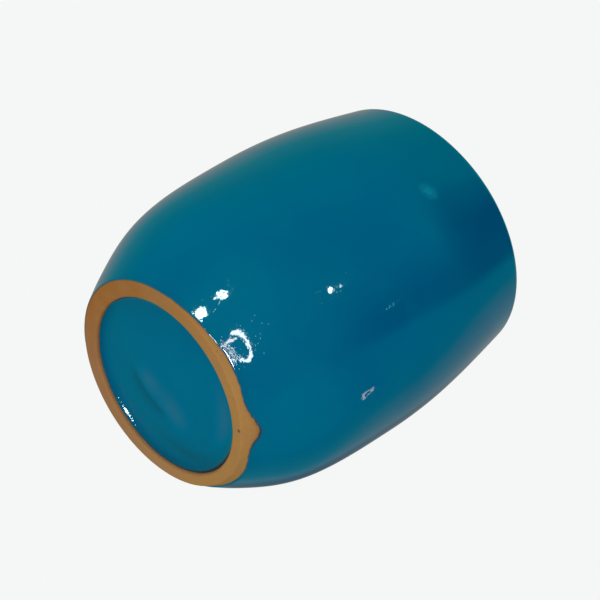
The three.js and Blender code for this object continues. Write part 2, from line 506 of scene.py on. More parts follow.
def turned_away(turn, place):
    """How far one angle lies from another, between minus and plus half a turn."""
    return (turn - place + HALF_TURN) % FULL_TURN - HALF_TURN


def hill(away, spread):
    """One at nought, falling to nought on both sides of it."""
    return math.exp(-((away / spread) ** 2))


def nearness(turn, place, spread):
    """One at an angle round the axis, falling to nought on both sides of it."""
    return hill(turned_away(turn, place), spread)


def uneven(point, size, seed):
    """Smooth noise with lumps of about one size, from minus one to one."""
    return noise.noise(point / size + Vector([step * seed for step in SEED_STEPS]))


class Turning:
    """Places points of the section round the axis, with the thrown form's own unevenness."""

    WIDE_LUMPS = 22 * MM
    NARROW_LUMPS = 9 * MM
    STEADY_FOOT = 6 * MM
    WELL_MARGIN = 1 * MM

    def __init__(self, shape):
        self.shape = shape

    def rim_lift(self, across, height):
        """How far the slanting rim lifts a place, by its distance across the axis and its height."""
        shape = self.shape
        rise = max(0.0, (height - shape.belly_height) / (shape.height - shape.belly_height))
        return rise * rise * (across * math.tan(shape.rim_tilt) - shape.rim_drop)

    def foot_shift(self, place):
        """How far the well and the inner edge of the ring lie off the axis."""
        shape = self.shape
        if place.y > shape.well_depth + self.WELL_MARGIN:
            return Vector((0.0, 0.0, 0.0))
        inner = shape.foot_radius - shape.ring_width + shape.ring_edge
        outer = shape.foot_radius - shape.ring_edge
        part = min(1.0, max(0.0, (outer - place.x) / (outer - inner)))
        return facing(shape.well_turn) * shape.well_offset * part

    def point(self, turn, place, normal, offset):
        """A point off the section line, in the part's frame."""
        out = facing(turn)
        base = out * place.x + Vector((0.0, 0.0, place.y)) + self.foot_shift(place)
        base.z += self.rim_lift(base.x, base.z)
        wide = 0.7 * uneven(base, self.WIDE_LUMPS, seed=3.1)
        narrow = 0.3 * uneven(base, self.NARROW_LUMPS, seed=7.7)
        sway = self.shape.wobble * (wide + narrow)
        rise = offset + sway * min(1.0, place.y / self.STEADY_FOOT)
        return base + (out * normal.x + Vector((0.0, 0.0, normal.y))) * rise


def turned_mesh(name, rings, marks, closed):
    """A mesh from rings of points about the axis. A ring of one point closes an end on the axis."""
    points = []
    starts = []
    for ring in rings:
        starts.append(len(points))
        points.extend(ring)
    faces = []
    pairs = list(zip(range(len(rings)), range(1, len(rings))))
    if closed:
        pairs.append((len(rings) - 1, 0))
    for low, high in pairs:
        for j in range(TURNS):
            k = (j + 1) % TURNS
            if len(rings[low]) == 1:
                faces.append((starts[low], starts[high] + k, starts[high] + j))
            elif len(rings[high]) == 1:
                faces.append((starts[low] + j, starts[low] + k, starts[high]))
            else:
                faces.append((starts[low] + j, starts[low] + k, starts[high] + k, starts[high] + j))
    mesh = bpy.data.meshes.new(name)
    mesh.from_pydata([tuple(p) for p in points], [], faces)
    for mark, rows in marks.items():
        values = [value for row in rows for value in row]
        mesh.attributes.new(mark, "FLOAT", "POINT").data.foreach_set("value", values)
    mesh.validate()
    mesh.shade_smooth()
    mesh.set_sharp_from_angle(angle=SHARP_ANGLE)
    return mesh


def new_piece(name, mesh, material, node):
    """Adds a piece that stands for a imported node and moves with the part."""
    piece = bpy.data.objects.new(name, mesh)
    bpy.context.scene.collection.objects.link(piece)
    mesh.materials.append(material)
    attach(piece, BODY)
    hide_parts(node)


def glaze_line(glaze, turn):
    """Height of the glaze line above the table, at an angle round the axis."""
    waves, ripples, tears = 5 * MM, 2 * MM, 1.1 * MM
    circle, softness = 29 * MM, 0.3 * MM
    around = facing(turn) * circle
    height = glaze.line_height + glaze.line_tilt * math.sin(turn)
    away = turned_away(turn, glaze.crawl_angle)
    height += glaze.crawl_height * hill(away, glaze.crawl_rise if away < 0 else glaze.crawl_fall)
    height -= glaze.tear_height * nearness(turn, glaze.tear_angle, glaze.tear_spread)
    height -= glaze.dip_height * nearness(turn, glaze.dip_angle, glaze.dip_spread)
    height += glaze.hump_height * nearness(turn, glaze.hump_angle, glaze.hump_spread)
    height += glaze.line_waver * (uneven(around, waves, seed=1.3) + 0.5 * uneven(around, ripples, seed=4.9))
    torn = 0.3 + nearness(turn, glaze.crawl_angle, 3 * glaze.crawl_rise)
    height += glaze.line_tear * torn * uneven(around, tears, seed=6.1)
    over = height - glaze.line_lowest
    return glaze.line_lowest + 0.5 * (over + math.sqrt(over * over + softness ** 2))


def rolled(glaze, from_edge):
    """Share of the full thickness that the glaze has near its edge, which is rounded over."""
    inwards = min(max(from_edge / glaze.roll, 0.0), 1.0)
    return math.sqrt(1 - (1 - inwards) ** 2)


class MUG_OT_clay_body(bpy.types.Operator):
    """Turn the terracotta body with its bare standing ring"""

    bl_idname = "mug.clay_body"
    bl_label = "Clay body"

    FLARE_ZONE = 8 * MM
    LIP_ZONE = 4 * MM
    GRAIN_DEPTH = 0.015 * MM
    GRAIN_SIZE = 1.6 * MM
    SCORCH_REACH = 0.28 * MM
    NOTCH_REACH = 0.67 * MM
    FAR_AWAY = 1.0

    def execute(self, context):
        shape, glaze, clay = mug_settings(context)
        section = MugSection(shape, glaze.lip_wrap)
        turning = Turning(shape)
        starts = [section.outside.length_at(glaze_line(glaze, turn)) for turn in TURN_ANGLES]
        bare_in_well = glaze.well_line - shape.ring_edge
        reaches = []
        for turn in TURN_ANGLES:
            notch = nearness(turn, glaze.crawl_angle, glaze.crawl_rise)
            reaches.append(self.SCORCH_REACH + self.NOTCH_REACH * notch)
        rings = []
        scorch = []
        for line, distances in self.stretches(section):
            for distance in distances:
                place, normal = line.at(distance)
                if place.x < LINE_STEP / 2:
                    rings.append([turning.point(0.0, place, normal, 0.0)])
                    scorch.append([0.0])
                    continue
                ring = []
                marks = []
                for turn, start, reach in zip(TURN_ANGLES, starts, reaches):
                    to_glaze = self.to_glaze(section, line, distance, start, bare_in_well)
                    bare = 0.0 < to_glaze < self.FAR_AWAY
                    ring.append(turning.point(turn, place, normal, self.grain(turn, place) if bare else 0.0))
                    marks.append(math.exp(-abs(to_glaze) / reach))
                rings.append(ring)
                scorch.append(marks)
        mesh = turned_mesh("terracotta_body", rings, {"scorch": scorch}, closed=False)
        new_piece("terracotta_body", mesh, terracotta(clay), "clay_body")
        return {"FINISHED"}

    def stretches(self, section):
        """The lines of the section in order, with the distances along them that get a ring."""
        outside, inside = section.outside, section.inside
        return [
            (section.well, even(0.0, section.well.total, 60)),
            (section.ring, even(0.0, section.ring.total, 36)[1:]),
            (outside, even(0.0, self.FLARE_ZONE, 56)[1:]),
            (outside, even(self.FLARE_ZONE, section.lip_length, 46)[1:]),
            (outside, even(section.lip_length, outside.total, 16)[1:]),
            (inside, even(0.0, self.LIP_ZONE, 10)[1:]),
            (inside, even(self.LIP_ZONE, inside.total, 80)[1:]),
        ]

    def to_glaze(self, section, line, distance, start, bare_in_well):
        """How far off the nearest edge of the glaze is, below nought where the glaze covers the clay."""
        if line is section.well:
            return distance - (line.total - bare_in_well)
        if line is section.ring:
            return min(bare_in_well + distance, line.total - distance + start)
        if line is section.outside:
            return start - distance
        return self.FAR_AWAY

    def grain(self, turn, place):
        """How far the grain of the bare clay lies off its section, always inwards."""
        spot = facing(turn) * place.x + Vector((0.0, 0.0, place.y))
        return self.GRAIN_DEPTH * (uneven(spot, self.GRAIN_SIZE, seed=5.5) - 1)


class Skin:
    """A surface of glaze, by the angle round the axis and the distance along the section."""

    def normal(self, turn, distance):
        """The outward direction of the surface."""
        edge = self.edge(turn)
        side, step = 0.002, 0.04 * MM
        round_axis = self.point(turn + side, distance, edge) - self.point(turn - side, distance, edge)
        along = self.point(turn, distance + step, edge) - self.point(turn, distance - step, edge)
        return round_axis.cross(along).normalized()

    def under(self, turn, distance):
        """A point on the side that lies on the clay."""
        return self.turning.point(turn, *self.line.at(distance), self.glaze.bond)

    def place(self, degrees, millimetres):
        """An angle and a distance along the section, from an angle in degrees and a height in millimetres."""
        return degrees * DEGREE, self.line.length_at(millimetres * MM)


class GlazeRings:
    """Rings of points about the axis, with the two marks that the colour of the glaze follows."""

    def __init__(self):
        self.points = []
        self.marks = {"pool_and_shade": [], "edge": []}

    def add(self, ring, pool_and_shade=None, edge=None):
        """Adds a ring, with marks of nought where none are given."""
        nought = [0.0] * len(ring)
        self.points.append(ring)
        self.marks["pool_and_shade"].append(pool_and_shade or nought)
        self.marks["edge"].append(edge or nought)

    def add_surface(self, skin, steps):
        """Adds a ring of a skin's surface, from its angles, its distances and the edges at them."""
        ring = [skin.point(*step) for step in steps]
        self.add(ring, [skin.pooled_and_shaded(*step) for step in steps], [skin.scorched(*step) for step in steps])

    def add_under(self, skin, row):
        """Adds a ring of the side of a skin that lies on the clay."""
        self.add([skin.under(turn, distance) for turn, distance in zip(TURN_ANGLES, row)])

    def make_piece(self, name, node, glaze, closed):
        """Makes the mesh and its piece."""
        mesh = turned_mesh(name, self.points, self.marks, closed)
        new_piece(name, mesh, teal_glaze(glaze), node)


class OuterCoat(Skin):
    """The surface of the outer glaze, from its lower edge up."""

    GAP_STEPS = 200
    LUMPS = 12 * MM
    LUMP_CIRCLE = 30 * MM
    POOL_SHARE = 0.3
    POOL_REACH = 1.8 * MM
    EDGE_SHARE, NOTCH_SHARE = 0.1, 0.45
    EDGE_WIDTH, NOTCH_WIDTH = 0.2 * MM, 0.3 * MM

    def __init__(self, shape, glaze):
        self.glaze = glaze
        self.section = MugSection(shape, glaze.lip_wrap)
        self.line = self.section.outside
        self.turning = Turning(shape)
        foot = Vector((glaze.coat_foot, 0.0))
        belly = Vector((shape.belly_radius + glaze.bond + glaze.thickness, shape.belly_height))
        foot_pull = foot + heading(QUARTER_TURN - glaze.coat_lean) * glaze.coat_foot_pull
        belly_pull = belly - Vector((0.0, glaze.coat_belly_pull))
        self.swell = Section(bezier(foot, foot_pull, belly_pull, belly))
        self.belly = self.line.length_at(shape.belly_height)
        self.gaps = [self.gap(distance) for distance in even(0.0, self.belly, self.GAP_STEPS)]

    def edge(self, turn):
        """Where the coat starts along the section."""
        return self.line.length_at(glaze_line(self.glaze, turn))

    def inside(self, turn, from_edge):
        """The distance along the section of a place on the coat, by its distance from the edge."""
        return self.edge(turn) + from_edge

    def gap(self, distance):
        """How far the plain swelling outside of the coat lies off the clay, below the belly."""
        place, normal = self.line.at(distance)
        rise = 0.0
        for _ in range(3):
            spot = place + normal * rise
            height = min(max(spot.y, 0.0), self.swell.points[-1].y)
            outside, _ = self.swell.at(self.swell.length_at(height))
            rise += (outside.x - spot.x) * normal.x
        return rise

    def thickness(self, turn, distance, start):
        """Thickness at a distance along the section, with the glaze gathered above its edge."""
        glaze = self.glaze
        from_edge = distance - start
        lump = 1 + 0.2 * uneven(facing(turn) * self.LUMP_CIRCLE, self.LUMPS, seed=8.4)
        gather = glaze.bulge * lump * hill(from_edge - glaze.bulge_place, glaze.bulge_spread)
        plain = glaze.thickness
        if distance < self.belly:
            step = distance / self.belly * self.GAP_STEPS
            low = int(step)
            plain = self.gaps[low] + (self.gaps[low + 1] - self.gaps[low]) * (step - low) - glaze.bond
        return rolled(glaze, from_edge) * (plain + gather)

    def point(self, turn, distance, start):
        """A point of the surface."""
        rise = self.glaze.bond + self.thickness(turn, distance, start)
        return self.turning.point(turn, *self.line.at(distance), rise)

    def pooled_and_shaded(self, turn, distance, start):
        """How much glaze has gathered at a place."""
        return self.POOL_SHARE * math.exp((start - distance) / self.POOL_REACH)

    def scorched(self, turn, distance, start):
        """How dark the scorched edge is at a place. It is widest and darkest in the notch."""
        notch = nearness(turn, self.glaze.crawl_angle, 1.3 * self.glaze.crawl_rise)
        width = self.EDGE_WIDTH + self.NOTCH_WIDTH * notch
        return (self.EDGE_SHARE + self.NOTCH_SHARE * notch) * hill(distance - start, width)


class MUG_OT_outer_glaze(bpy.types.Operator):
    """Coat the outside in teal glaze from its uneven lower line over the lip"""

    bl_idname = "mug.outer_glaze"
    bl_label = "Outer glaze"

    def execute(self, context):
        shape, glaze, _ = mug_settings(context)
        coat = OuterCoat(shape, glaze)
        top = coat.section.lip_length
        edge_zone = 7 * MM
        edge_rows, wall_rows, lip_rows = 34, 88, 20
        starts = [coat.edge(turn) for turn in TURN_ANGLES]
        rows = [[start + step for start in starts] for step in gathered(edge_zone, edge_rows, pull=3.6)]
        for rise in even(0.0, 1.0, wall_rows)[1:]:
            rows.append([start + edge_zone + (top - start - edge_zone) * rise for start in starts])
        rows += [[distance] * TURNS for distance in even(top, coat.line.total, lip_rows)[1:]]
        rings = GlazeRings()
        for row in rows:
            rings.add_surface(coat, list(zip(TURN_ANGLES, row, starts)))
        for row in reversed(rows[1:]):
            rings.add_under(coat, row)
        rings.make_piece("teal_outer_coat", "outer_glaze", glaze, closed=True)
        return {"FINISHED"}


class MUG_OT_liner_glaze(bpy.types.Operator):
    """Line the inside with teal glaze from the lip to the floor"""

    bl_idname = "mug.liner_glaze"
    bl_label = "Liner glaze"

    def execute(self, context):
        shape, glaze, _ = mug_settings(context)
        line = MugSection(shape, glaze.lip_wrap).inside
        turning = Turning(shape)
        lip_zone = 4 * MM
        lip_rows, wall_rows = 14, 110
        distances = even(0.0, lip_zone, lip_rows) + even(lip_zone, line.total, wall_rows)[1:]
        rings = GlazeRings()
        for offset, steps in ((glaze.bond, reversed(distances)), (glaze.bond + glaze.thickness, distances)):
            for distance in steps:
                place, normal = line.at(distance)
                if place.x < LINE_STEP / 2:
                    rings.add([Vector((0.0, 0.0, place.y + offset))])
                else:
                    rings.add([turning.point(turn, place, normal, offset) for turn in TURN_ANGLES])
        rings.make_piece("teal_liner", "liner_glaze", glaze, closed=False)
        return {"FINISHED"}


class WellSkin(Skin):
    """The surface of the glaze in the well, from the axis out to its edge on the ring."""

    # The waver of the edge
    EDGE_WAVER = 0.15 * MM
    EDGE_LUMPS = 6 * MM
    EDGE_CIRCLE = 25 * MM

    # Pulls on the slope of the glaze from the ceiling to its edge, in shares of its length
    LEVEL_PULL = 0.52
    FOOT_PULL = 0.21

    # The crease: height, lean and curve of its middle line in millimetres, then its middle and its reach
    CREASE_LINE = (11.6, -0.11, -0.027)
    CREASE_MIDDLE = 0.3 * MM
    CREASE_HALF = 5.0 * MM
    CREASE_FADE = 2.5 * MM
    CREASE_SPREAD = 1.6 * MM

    # Patches of painted light beside the crease, by their middles and reaches in millimetres
    LIGHT_PATCHES = (((-2.2, 7.5), (3.8, 3.3)), ((7.5, 5.3), (5.2, 3.7)))
    LIGHT_SHARE = 0.85

    def __init__(self, shape, glaze):
        self.glaze = glaze
        self.line = MugSection(shape, glaze.lip_wrap).well
        self.turning = Turning(shape)
        self.reach = self.line.total - (glaze.well_line - shape.ring_edge)

    def edge(self, turn):
        """Where the skin ends along the section."""
        around = facing(turn) * self.EDGE_CIRCLE
        return self.reach + self.EDGE_WAVER * uneven(around, self.EDGE_LUMPS, seed=2.2)

    def inside(self, turn, from_edge):
        """The distance along the section of a place on the skin, by its distance from the edge."""
        return self.edge(turn) - from_edge

    def sloped(self, distance, end):
        """The place and the normal in the section, where the glaze slopes from the ceiling to its edge."""
        glaze = self.glaze
        start = end - glaze.well_slope
        place, normal = self.line.at(min(distance, start))
        level = place + normal * (glaze.bond + glaze.thickness)
        if distance <= start:
            return level, normal
        wall_place, wall_normal = self.line.at(end)
        foot = wall_place + wall_normal * glaze.bond
        level_pull = level + Vector((-normal.y, normal.x)) * self.LEVEL_PULL * glaze.well_slope
        foot_pull = foot + heading(1.5 * QUARTER_TURN) * self.FOOT_PULL * glaze.well_slope
        gone = (distance - start) / glaze.well_slope
        left = 1 - gone
        upper = level * left ** 3 + level_pull * 3 * left * left * gone
        return upper + foot_pull * 3 * left * gone * gone + foot * gone ** 3, normal

    def point(self, turn, distance, end):
        """A point of the surface."""
        place, normal = self.sloped(distance, end)
        point = self.turning.point(turn, place, normal, 0.0)
        point.z += self.glaze.crease_depth * self.crease(point, 0.0, self.CREASE_SPREAD)
        return point

    def crease(self, point, beside, spread):
        """One on a line beside the crease, falling to nought on both sides and past its ends."""
        height, lean, curve = self.CREASE_LINE
        x = point.x / MM
        bend = (height + lean * x + curve * x * x) * MM
        past = max(0.0, abs(point.x - self.CREASE_MIDDLE) - self.CREASE_HALF)
        return hill(point.y - bend - beside, spread) * hill(past, self.CREASE_FADE)

    def patch(self, point, middle, reach):
        """One at a place on the ceiling, falling to nought round it."""
        across, along = [hill(point[i] - middle[i] * MM, reach[i] * MM) for i in range(2)]
        return across * along

    def scorched(self, turn, distance, end):
        """How dark the edge is at a place: a thin scorched line all round, with painted shade that widens it
        on one side and makes it widest and darkest on another.
        """
        right = nearness(turn, 0.0, 50 * DEGREE)
        widest = nearness(turn, 74 * DEGREE, 42 * DEGREE)
        width = (0.2 + 0.25 * right + 1.5 * widest) * MM
        return (0.3 + 0.7 * widest) * hill(end - distance, width)

    def pooled_and_shaded(self, turn, distance, end):
        """Painted shade at a place, with some gathered glaze, from minus one where painted light lightens it
        to one.
        """
        point = self.point(turn, distance, end)
        radius = math.hypot(point.x, point.y)
        around = math.atan2(point.x, -point.y)
        return self.dark(point, radius, around, end - distance) - self.lightened(point, radius, around)

    def dark(self, point, radius, around, from_edge):
        """How much painted shade darkens a place, with some glaze gathered in the crease and the corner."""
        far_start, far_length = 2 * MM, 10 * MM
        crease_width, beside, beside_width = 1.1 * MM, 1.8 * MM, 1.8 * MM
        streak_start, streak_run, streak_width = 23 * MM, 4.4 * MM, 1.6 * MM
        corner_reach, border_radius = 1.9 * MM, 22 * MM
        # Painted shade towards the far side of the well
        far_side = min(1.0, max(0.0, (point.y - far_start) / far_length))
        # Painted shade in the crease, partly gathered glaze, and a painted shadow beside it
        crease = 0.70 * self.crease(point, 0.0, crease_width)
        crease += 0.25 * self.crease(point, beside, beside_width)
        # A painted shadow of the rim, in a streak near one side
        streak_radius = streak_start - streak_run * turned_away(around, 96 * DEGREE)
        streak = nearness(around, 118 * DEGREE, 24 * DEGREE) * hill(radius - streak_radius, streak_width)
        # Painted shade in the corner, darkest on one side, and near the rim except on two sides
        corner = 0.3 + 1.3 * max(0.0, math.cos(turned_away(around, 95 * DEGREE))) ** 4
        border = 1 - 0.85 * nearness(around, 15 * DEGREE, 40 * DEGREE)
        border -= 0.9 * nearness(around, 205 * DEGREE, 50 * DEGREE)
        plain = 0.06 + 0.16 * far_side + 0.34 * border * (radius / border_radius) ** 3
        return plain + crease + 0.5 * streak + corner * hill(from_edge, corner_reach)

    def lightened(self, point, radius, around):
        """How much painted light lightens a place in patches beside the crease, and how much lighter one side
        of the rim is.
        """
        rim_radius, rim_reach = 20.6 * MM, 2.6 * MM
        patches = sum(self.patch(point, middle, reach) for middle, reach in self.LIGHT_PATCHES)
        rim = nearness(around, 52 * DEGREE, 26 * DEGREE) * hill(radius - rim_radius, rim_reach)
        return self.LIGHT_SHARE * patches + 0.9 * rim


class MUG_OT_well_glaze(bpy.types.Operator):
    """Glaze the shallow well under the foot, with its soft crease"""

    bl_idname = "mug.well_glaze"
    bl_label = "Well glaze"

    def execute(self, context):
        shape, glaze, _ = mug_settings(context)
        skin = WellSkin(shape, glaze)
        ends = [skin.edge(turn) for turn in TURN_ANGLES]
        edge_zone = 5 * MM
        ceiling_rows, edge_rows = 60, 34
        rows = [[(end - edge_zone) * x for end in ends] for x in even(0.0, 1.0, ceiling_rows)[1:]]
        edge_steps = gathered(edge_zone, edge_rows, pull=2.4)[:-1]
        rows += [[end - step for end in ends] for step in reversed(edge_steps)]
        rings = GlazeRings()
        rings.add_surface(skin, [(0.0, 0.0, ends[0])])
        for row in rows:
            rings.add_surface(skin, list(zip(TURN_ANGLES, row, ends)))
        for row in reversed(rows[:-1]):
            rings.add_under(skin, row)
        rings.add([skin.under(0.0, 0.0)])
        rings.make_piece("teal_well", "well_glaze", glaze, closed=False)
        return {"FINISHED"}


def plug(tree, socket, value):
    """Links an output socket to an input, or sets a plain value on that input."""
    if isinstance(value, bpy.types.NodeSocket):
        tree.links.new(value, socket)
    else:
        socket.default_value = value


def add_node(tree, kind, inputs=None, **settings):
    """A shader node with its settings, and with values or linked sockets on its inputs."""
    made = tree.nodes.new(kind)
    for name, value in settings.items():
        setattr(made, name, value)
    for socket, value in (inputs or {}).items():
        plug(tree, made.inputs[socket], value)
    return made


def opaque(values):
    """A colour with a full fourth channel."""
    return (*values, 1.0)


def blank_material(name):
    """A material with its shader and its surface node, and nothing else."""
    material = bpy.data.materials.new(name)
    material.use_nodes = True
    tree = material.node_tree
    return material, tree, tree.nodes["Principled BSDF"]


def cleared_tree(block):
    """The node tree of a new material or world, with no nodes in it."""
    block.use_nodes = True
    block.node_tree.nodes.clear()
    return block.node_tree


def mixed(tree, factor, first, second):
    """A colour socket that goes from first to second as the factor goes from nought to one."""
    mix = add_node(tree, "ShaderNodeMix", {"Factor": factor}, data_type="RGBA")
    for socket, value in ((MIX_FIRST, first), (MIX_SECOND, second)):
        linked = isinstance(value, bpy.types.NodeSocket)
        plug(tree, mix.inputs[socket], value if linked else opaque(value))
    return mix.outputs[MIX_RESULT]


def ranged(tree, value, low_high, least_most, kind="SMOOTHSTEP"):
    """A value socket taken from one range to another and held inside it, eased unless told otherwise."""
    names = ("Value", "From Min", "From Max", "To Min", "To Max")
    inputs = dict(zip(names, (value, *low_high, *least_most)))
    return add_node(tree, "ShaderNodeMapRange", inputs, interpolation_type=kind).outputs["Result"]


def computed(tree, operation, first, second):
    """A value socket with the result of an operation on two values."""
    return add_node(tree, "ShaderNodeMath", {0: first, 1: second}, operation=operation).outputs[0]


def product(tree, *values):
    """A value socket with several values multiplied."""
    total = values[0]
    for value in values[1:]:
        total = computed(tree, "MULTIPLY", total, value)
    return total


def own_place(tree):
    """The place on a surface, in the part's own frame."""
    return add_node(tree, "ShaderNodeTexCoord").outputs["Object"]


def mark_of(tree, name):
    """A mark that the mesh carries."""
    return add_node(tree, "ShaderNodeAttribute", attribute_name=name).outputs["Fac"]


def noise_of(tree, size, detail=3.0):
    """Noise in the part's own frame, with lumps of about a size in metres."""
    inputs = {"Vector": own_place(tree), "Scale": 1 / size, "Detail": detail, "Roughness": 0.55}
    return add_node(tree, "ShaderNodeTexNoise", inputs).outputs["Fac"]


def spots_of(tree, spacing, radius):
    """Scattered round spots, one where they are and nought elsewhere, sized in metres."""
    inputs = {"Vector": own_place(tree), "Scale": 1 / spacing, "Randomness": 1.0}
    away = add_node(tree, "ShaderNodeTexVoronoi", inputs).outputs["Distance"]
    return ranged(tree, away, (0.0, radius / spacing), (1.0, 0.0))


def bumped(tree, shader, heights):
    """Fine relief on a shader, from height sockets and their depths in metres."""
    below = {}
    for height, depth in heights:
        inputs = {"Strength": 1.0, "Distance": depth, "Height": height, **below}
        below = {"Normal": add_node(tree, "ShaderNodeBump", inputs).outputs["Normal"]}
    plug(tree, shader.inputs["Normal"], below["Normal"])


def teal_glaze(glaze):
    """Gloss teal glaze: a little uneven in colour, darker where it gathers, with painted shade and painted
    light in the well and a fine orange peel.
    """
    name = "teal glaze"
    if name in bpy.data.materials:
        return bpy.data.materials[name]
    material, tree, shader = blank_material(name)
    pool_and_shade = mark_of(tree, "pool_and_shade")
    edge = mark_of(tree, "edge")
    clouds = ranged(tree, noise_of(tree, 20 * MM), (0.36, 0.64), (0.0, 1.0))
    base = mixed(tree, clouds, glaze.body_colour, glaze.green_colour)
    # Painted light in the well where the mark is below nought, then gathered glaze and painted shade where it
    # is above
    base = mixed(tree, computed(tree, "MULTIPLY", pool_and_shade, -1.0), base, glaze.lightened_colour)
    base = mixed(tree, pool_and_shade, base, glaze.pool_and_shade_colour)
    # The scorched edge, with painted shade along one side of the well's edge
    base = mixed(tree, edge, base, glaze.edge_and_shade_colour)
    plug(tree, shader.inputs["Base Color"], base)
    smoothest, dullest = 0.7 * glaze.roughness, 1.4 * glaze.roughness
    smear = ranged(tree, noise_of(tree, 3 * MM), (0.3, 0.7), (smoothest, dullest))
    plug(tree, shader.inputs["Roughness"], smear)
    shader.inputs["IOR"].default_value = glaze.index
    plug(tree, shader.inputs["Specular IOR Level"], ranged(tree, edge, (0.0, 0.5), (0.5, 0.0)))
    peel = noise_of(tree, 0.7 * MM, detail=1.0)
    ripple = product(tree, noise_of(tree, 1.1 * MM, detail=2.0), pool_and_shade)
    pimples = spots_of(tree, 0.95 * MM, 0.22 * MM)
    bumped(tree, shader, [(peel, 0.0045 * MM), (ripple, 0.12 * MM), (pimples, 0.011 * MM)])
    return material


def terracotta(clay):
    """Bare fired clay: warm, mottled and gritty, with fine turning lines and a scorched border."""
    material, tree, shader = blank_material("terracotta")
    place = own_place(tree)
    pale_way = (1.0, -0.5, 0.0)
    pit_middle = facing(clay.pit_angle) * clay.pit_place
    across = add_node(tree, "ShaderNodeVectorMath", {0: place, 1: pale_way}, operation="DOT_PRODUCT")
    from_pit = add_node(tree, "ShaderNodeVectorMath", {0: place, 1: pit_middle}, operation="DISTANCE")
    axes = add_node(tree, "ShaderNodeSeparateXYZ", {0: place})
    grit = spots_of(tree, 1.7 * MM, 0.22 * MM)
    pit = ranged(tree, from_pit.outputs["Value"], (0.4 * clay.pit_radius, clay.pit_radius), (1.0, 0.0))
    pale_side = ranged(tree, across.outputs["Value"], (-30 * MM, 22 * MM), (0.0, 1.0))
    # Greyer towards the far side
    far_side = ranged(tree, axes.outputs["Y"], (6 * MM, 26 * MM), (0.0, 0.3))
    clouds = ranged(tree, noise_of(tree, 7 * MM), (0.40, 0.70), (0.0, 0.5))
    fine = ranged(tree, noise_of(tree, 0.9 * MM, detail=4.0), (0.55, 0.8), (0.0, 0.35))
    specks = ranged(tree, grit, (0.0, 1.0), (0.0, 0.6))
    border = ranged(tree, mark_of(tree, "scorch"), (0.1, 1.0), (0.0, 0.5))
    base = mixed(tree, pale_side, clay.warm_colour, clay.pale_colour)
    base = mixed(tree, far_side, base, clay.grey_colour)
    base = mixed(tree, clouds, base, clay.dull_colour)
    for cover in (fine, specks, border, pit):
        base = mixed(tree, cover, base, clay.dark_colour)
    plug(tree, shader.inputs["Base Color"], base)
    shader.inputs["Roughness"].default_value = clay.roughness
    shader.inputs["Specular IOR Level"].default_value = 0.1
    lines = add_node(
        tree,
        "ShaderNodeTexWave",
        {"Vector": place, "Scale": 500.0, "Distortion": 3.0, "Detail": 2.0, "Detail Scale": 0.4},
        wave_type="RINGS",
        rings_direction="Z",
    )
    sand = noise_of(tree, 0.5 * MM, detail=4.0)
    relief = [(lines.outputs["Fac"], 0.015 * MM), (sand, 0.05 * MM), (grit, -0.06 * MM), (pit, -0.1 * MM)]
    bumped(tree, shader, relief)
    return material


class View:
    """The camera's place and axes, from its tilt, roll, distance and slide."""

    def __init__(self, stage):
        tilt, roll = stage.camera_tilt, stage.camera_roll
        along = Vector((0.0, -math.sin(tilt), math.cos(tilt)))
        self.forward = Vector((0.0, math.cos(tilt), math.sin(tilt)))
        self.right = along * math.cos(roll) + RIGHT * math.sin(roll)
        self.up = along * math.sin(roll) - RIGHT * math.cos(roll)
        self.place = along * stage.camera_slide - self.forward * stage.camera_distance

    def matrix(self):
        """The camera's world matrix."""
        axes = Matrix((self.right, self.up, -self.forward)).transposed().to_4x4()
        return Matrix.Translation(self.place) @ axes


def towards(tree, direction, low_high, least_most):
    """A value socket that changes evenly with how far a ray points in a direction."""
    ray = add_node(tree, "ShaderNodeTexCoord").outputs["Generated"]
    dot = add_node(tree, "ShaderNodeVectorMath", {0: ray, 1: direction}, operation="DOT_PRODUCT")
    return ranged(tree, dot.outputs["Value"], low_high, least_most, kind="LINEAR")


def mirrored_room(tree, forward):
    """What the gloss mirrors: a cool dim room, lighter at its sides and grey behind the mug."""
    ramp = add_node(tree, "ShaderNodeValToRGB", {0: towards(tree, forward, (-1.0, 1.0), (0.0, 1.0))})
    elements = ramp.color_ramp.elements
    while len(elements) < len(ROOM_SHADES):
        elements.new(1.0)
    for element, (ahead, shade) in zip(elements, ROOM_SHADES):
        element.position = 0.5 + 0.5 * ahead
        element.color = opaque(shade)
    room = ramp.outputs["Color"]
    for direction, low_high, cover, shade in ROOM_PATCHES.values():
        room = mixed(tree, towards(tree, direction, low_high, (0.0, cover)), room, shade)
    for dark in doorway(tree):
        room = mixed(tree, dark, room, BLACK)
    return room


def doorway(tree):
    """The dark shares of an upright strip in the room and of the wall above it, with one sharp edge."""
    across = (0.71, 0.71, -0.60)
    edge = towards(tree, across, (-0.24, -0.12), (1.0, 0.0))
    front = towards(tree, (0.71, -0.71, 0.0), (0.05, 0.25), (0.0, 1.0))
    strip = towards(tree, across, (-0.85, -0.42), (0.0, 0.6))
    strip_rise = towards(tree, UP, (0.33, 0.55), (0.0, 1.0))
    wall = towards(tree, UP, (0.775, 0.855), (0.0, 1.0))
    wall_reach = towards(tree, RIGHT, (-0.35, 0.15), (0.0, 1.0))
    return product(tree, strip, strip_rise, edge, front), product(tree, wall, wall_reach, edge, front)


